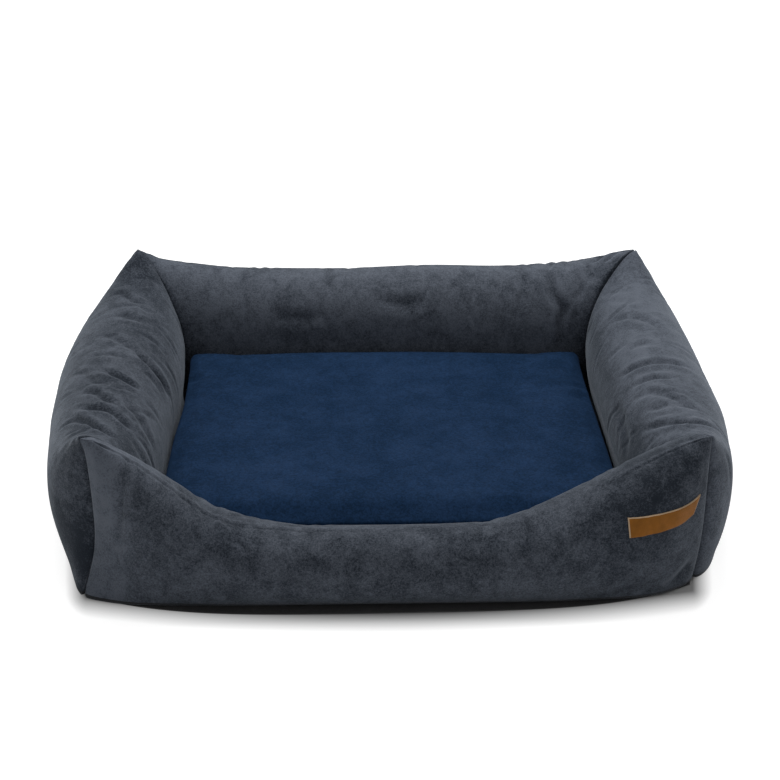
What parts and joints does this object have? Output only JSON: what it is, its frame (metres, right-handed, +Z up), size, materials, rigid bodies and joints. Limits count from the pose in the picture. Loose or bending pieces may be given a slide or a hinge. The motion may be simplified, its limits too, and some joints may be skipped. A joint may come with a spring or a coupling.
{
  "type": "dog sofa bed",
  "caption": "Rectangular pet bed with plump mitred bolsters on all sides, a scooped front lip and a loose zipped mattress that lifts out.",
  "frame": {"origin": "centre of the bed's outline, on the ground", "axes": "+X to the right along the length, +Y to the back bolster, +Z up"},
  "size_m": [1, 0.8, 0.242],
  "materials": {
    "slate_velvet": "matte",
    "navy_velvet": "matte",
    "tan_leather": "satin",
    "nonslip_base": "matte",
    "lining": "matte",
    "fibre_fill": "matte",
    "foam": "matte",
    "zip_tape": "matte",
    "zip_teeth": "satin",
    "zip_metal": "satin"
  },
  "bodies": {
    "bed": {"base_bottom": "nonslip_base", "base_floor": "lining", "leather_tag": "tan_leather", "left_bolster_cover": "slate_velvet", "left_bolster_fill": "fibre_fill", "right_bolster_cover": "slate_velvet", "right_bolster_fill": "fibre_fill", "back_bolster_cover": "slate_velvet", "back_bolster_fill": "fibre_fill", "front_bolster_cover": "slate_velvet", "front_bolster_fill": "fibre_fill", "left_zip_tape": "zip_tape", "left_zip_teeth": "zip_teeth", "left_zip_stops": "zip_metal", "right_zip_tape": "zip_tape", "right_zip_teeth": "zip_teeth", "right_zip_stops": "zip_metal", "back_zip_tape": "zip_tape", "back_zip_teeth": "zip_teeth", "back_zip_stops": "zip_metal"},
    "mattress": {"mattress_cover": "navy_velvet", "mattress_core": "foam", "mattress_zip_tape": "zip_tape", "mattress_zip_teeth": "zip_teeth", "mattress_zip_stops": "zip_metal"},
    "left_slider": {"left_zip_slider": "zip_metal"},
    "left_pull": {"left_zip_pull": "zip_metal"},
    "right_slider": {"right_zip_slider": "zip_metal"},
    "right_pull": {"right_zip_pull": "zip_metal"},
    "back_slider": {"back_zip_slider": "zip_metal"},
    "back_pull": {"back_zip_pull": "zip_metal"},
    "mattress_slider": {"mattress_zip_slider": "zip_metal"},
    "mattress_pull": {"mattress_zip_pull": "zip_metal"}
  },
  "joints": [
    {"name": "mattress_lift", "type": "slide", "parent": "bed", "child": "mattress", "axis": [0, 0, 1], "range_m": [0, 0.26]},
    {"name": "left_zip_slide", "type": "slide", "parent": "bed", "child": "left_slider", "axis": [0, 1, 0], "range_m": [0, 0.2404]},
    {"name": "left_pull_turn", "type": "hinge", "parent": "left_slider", "child": "left_pull", "pos_m": [-0.34199, -0.1202, 0.02058], "axis": [-0.5982, 0, -0.8013], "range_deg": [0, 180]},
    {"name": "right_zip_slide", "type": "slide", "parent": "bed", "child": "right_slider", "axis": [0, -1, 0], "range_m": [0, 0.2404]},
    {"name": "right_pull_turn", "type": "hinge", "parent": "right_slider", "child": "right_pull", "pos_m": [0.34199, 0.1202, 0.02058], "axis": [0.5982, 0, -0.8013], "range_deg": [0, 180]},
    {"name": "back_zip_slide", "type": "slide", "parent": "bed", "child": "back_slider", "axis": [1, 0, 0], "range_m": [0, 0.3904]},
    {"name": "back_pull_turn", "type": "hinge", "parent": "back_slider", "child": "back_pull", "pos_m": [-0.1952, 0.27002, 0.02072], "axis": [0, 0.5619, -0.8272], "range_deg": [0, 180]},
    {"name": "mattress_zip_slide", "type": "slide", "parent": "mattress", "child": "mattress_slider", "axis": [1, 0, 0], "range_m": [0, 0.4204]},
    {"name": "mattress_pull_turn", "type": "hinge", "parent": "mattress_slider", "child": "mattress_pull", "pos_m": [-0.2102, 0.24275, 0.041], "axis": [0, 0, 1], "range_deg": [0, 180]}
  ]
}
